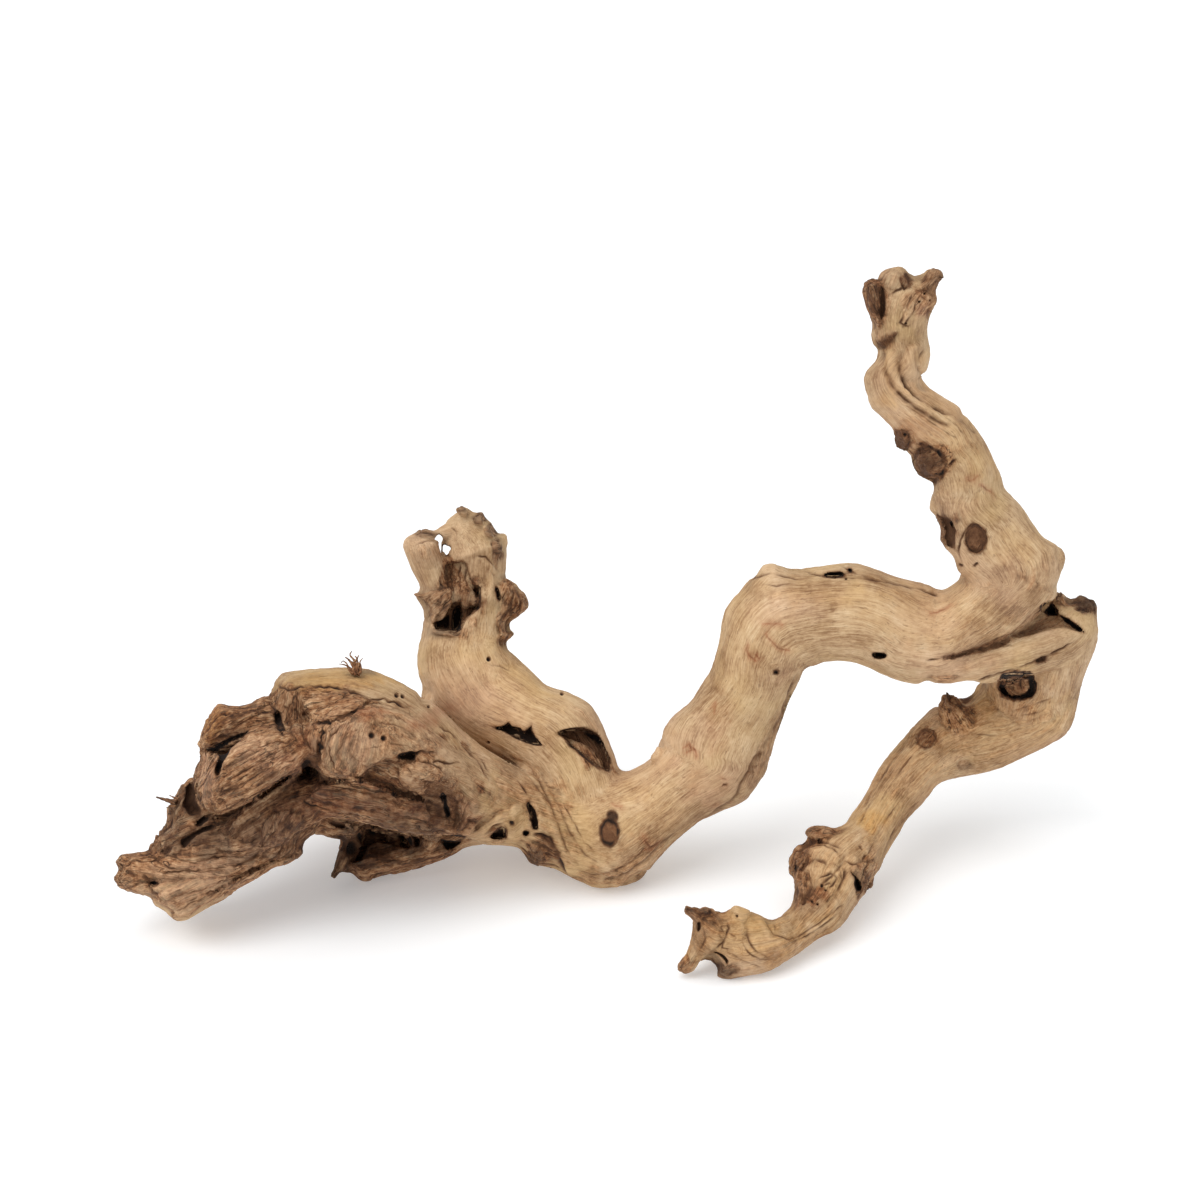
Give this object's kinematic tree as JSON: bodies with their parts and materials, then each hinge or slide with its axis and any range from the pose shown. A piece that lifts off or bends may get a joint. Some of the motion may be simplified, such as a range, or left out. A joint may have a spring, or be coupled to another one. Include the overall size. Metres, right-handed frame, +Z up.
{
  "type": "sandblasted grapevine wood",
  "caption": "Branching piece of bare, blasted old vine wood with a split brown burl, knotted pale limbs and a forked foot; lies on a surface as decor or a perch.",
  "frame": {"origin": "on the resting surface, under the middle of the piece's box", "axes": "+Z up, +X along the longest extent, from the burl towards the right-hand knot, +Y away from the viewer"},
  "size_m": [0.4518, 0.1788, 0.304],
  "materials": {
    "vine_wood": "dry, matt, blasted wood with raised grain, pale tan on the limbs and brown on the split burl"
  },
  "bodies": {
    "root": {"grapevine_wood": "vine_wood"}
  },
  "joints": []
}
